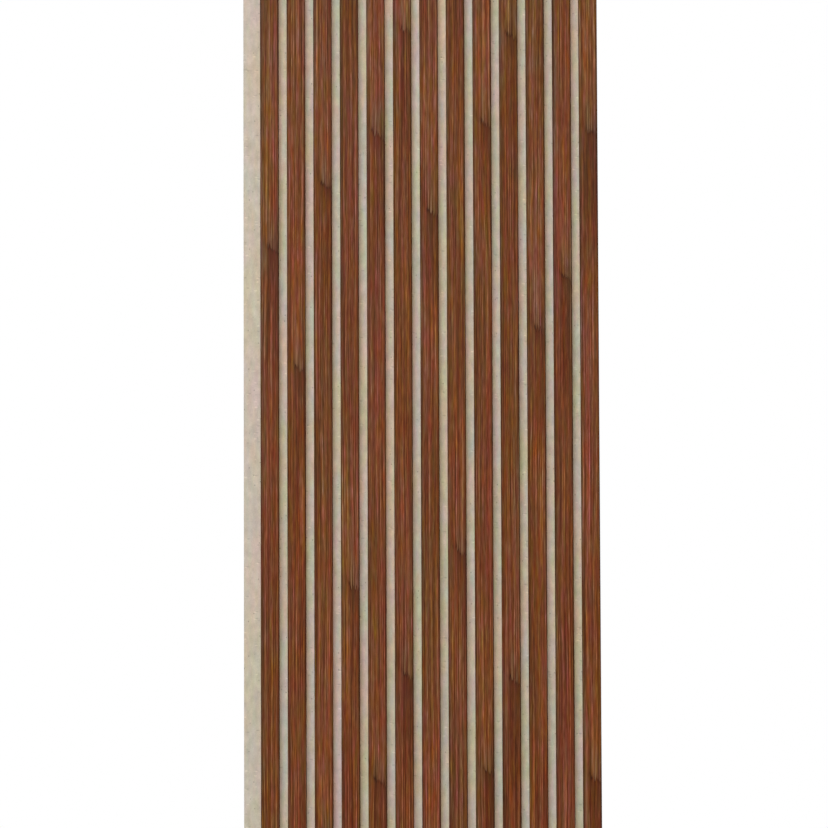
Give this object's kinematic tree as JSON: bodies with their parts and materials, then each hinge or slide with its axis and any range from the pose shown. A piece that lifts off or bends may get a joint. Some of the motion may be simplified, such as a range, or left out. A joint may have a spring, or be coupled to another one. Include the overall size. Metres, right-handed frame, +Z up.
{
  "type": "acoustic slat wall panel",
  "caption": "Tall felt-backed acoustic wall panel with upright bamboo-figured wooden slats, a bare felt tongue down one side and a lap rebate down the other.",
  "frame": {"origin": "middle of the wall face, the flat back of the felt board", "axes": "+Z up along the slats, +Y out of the wall face toward the wall, so the slats face -Y"},
  "size_m": [0.52, 0.021, 2.4],
  "materials": {
    "felt": "needled polyester felt board, mottled beige with dark flecks",
    "slat_wood": "dark red-brown bamboo figure, matt oil",
    "staple_wire": "galvanised flat wire"
  },
  "bodies": {
    "root": {"felt_backing": "felt", "slat_01": "slat_wood", "slat_02": "slat_wood", "slat_03": "slat_wood", "slat_04": "slat_wood", "slat_05": "slat_wood", "slat_06": "slat_wood", "slat_07": "slat_wood", "slat_08": "slat_wood", "slat_09": "slat_wood", "slat_10": "slat_wood", "slat_11": "slat_wood", "slat_12": "slat_wood", "slat_13": "slat_wood", "staples": "staple_wire"}
  },
  "joints": []
}
